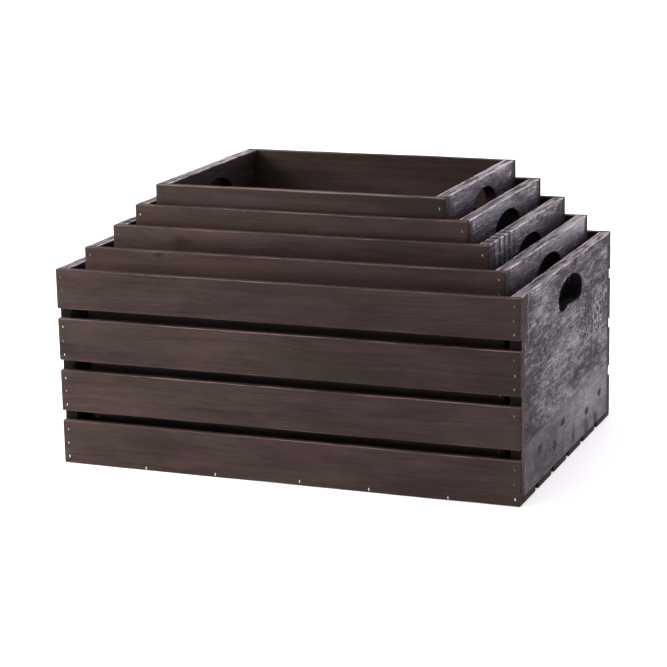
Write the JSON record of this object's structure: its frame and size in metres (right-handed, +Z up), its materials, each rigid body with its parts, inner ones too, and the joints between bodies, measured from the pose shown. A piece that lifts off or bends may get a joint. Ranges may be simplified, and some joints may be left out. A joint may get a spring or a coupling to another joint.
{
  "type": "nesting slatted crates",
  "caption": "Nest of open-topped slatted wooden storage crates with solid end panels, arched hand slots and boarded floors, each standing inside the next larger one.",
  "frame": {"origin": "bottom centre of the largest crate", "axes": "+X along the crates towards one end panel, +Y across them towards the back slats, +Z up"},
  "size_m": [0.508, 0.3534, 0.2968],
  "materials": {
    "side_slats": "dark brown stain, satin, faint lengthwise grain",
    "end_panels": "dark brown stain under a brushed, mottled satin varnish",
    "floor_boards": "dark brown stain, matt",
    "brads": "bright flat brad heads"
  },
  "bodies": {
    "crate_1": {"crate_1_left_end": "end_panels", "crate_1_right_end": "end_panels", "crate_1_front_slat_1": "side_slats", "crate_1_front_slat_2": "side_slats", "crate_1_front_slat_3": "side_slats", "crate_1_front_slat_4": "side_slats", "crate_1_back_slat_1": "side_slats", "crate_1_back_slat_2": "side_slats", "crate_1_back_slat_3": "side_slats", "crate_1_back_slat_4": "side_slats", "crate_1_floor_boards": "floor_boards", "crate_1_brads": "brads"},
    "crate_2": {"crate_2_left_end": "end_panels", "crate_2_right_end": "end_panels", "crate_2_front_slat_1": "side_slats", "crate_2_front_slat_2": "side_slats", "crate_2_front_slat_3": "side_slats", "crate_2_front_slat_4": "side_slats", "crate_2_back_slat_1": "side_slats", "crate_2_back_slat_2": "side_slats", "crate_2_back_slat_3": "side_slats", "crate_2_back_slat_4": "side_slats", "crate_2_floor_boards": "floor_boards", "crate_2_brads": "brads"},
    "crate_3": {"crate_3_left_end": "end_panels", "crate_3_right_end": "end_panels", "crate_3_front_slat_1": "side_slats", "crate_3_front_slat_2": "side_slats", "crate_3_front_slat_3": "side_slats", "crate_3_front_slat_4": "side_slats", "crate_3_back_slat_1": "side_slats", "crate_3_back_slat_2": "side_slats", "crate_3_back_slat_3": "side_slats", "crate_3_back_slat_4": "side_slats", "crate_3_floor_boards": "floor_boards", "crate_3_brads": "brads"},
    "crate_4": {"crate_4_left_end": "end_panels", "crate_4_right_end": "end_panels", "crate_4_front_slat_1": "side_slats", "crate_4_front_slat_2": "side_slats", "crate_4_front_slat_3": "side_slats", "crate_4_front_slat_4": "side_slats", "crate_4_back_slat_1": "side_slats", "crate_4_back_slat_2": "side_slats", "crate_4_back_slat_3": "side_slats", "crate_4_back_slat_4": "side_slats", "crate_4_floor_boards": "floor_boards", "crate_4_brads": "brads"},
    "crate_5": {"crate_5_left_end": "end_panels", "crate_5_right_end": "end_panels", "crate_5_front_slat_1": "side_slats", "crate_5_front_slat_2": "side_slats", "crate_5_front_slat_3": "side_slats", "crate_5_front_slat_4": "side_slats", "crate_5_back_slat_1": "side_slats", "crate_5_back_slat_2": "side_slats", "crate_5_back_slat_3": "side_slats", "crate_5_back_slat_4": "side_slats", "crate_5_floor_boards": "floor_boards", "crate_5_brads": "brads"}
  },
  "joints": [
    {"name": "lift_crate_2", "type": "slide", "parent": "crate_1", "child": "crate_2", "axis": [0, 0, 1], "range_m": [0, 0.211]},
    {"name": "lift_crate_3", "type": "slide", "parent": "crate_2", "child": "crate_3", "axis": [0, 0, 1], "range_m": [0, 0.2252]},
    {"name": "lift_crate_4", "type": "slide", "parent": "crate_3", "child": "crate_4", "axis": [0, 0, 1], "range_m": [0, 0.2394]},
    {"name": "lift_crate_5", "type": "slide", "parent": "crate_4", "child": "crate_5", "axis": [0, 0, 1], "range_m": [0, 0.2536]}
  ]
}
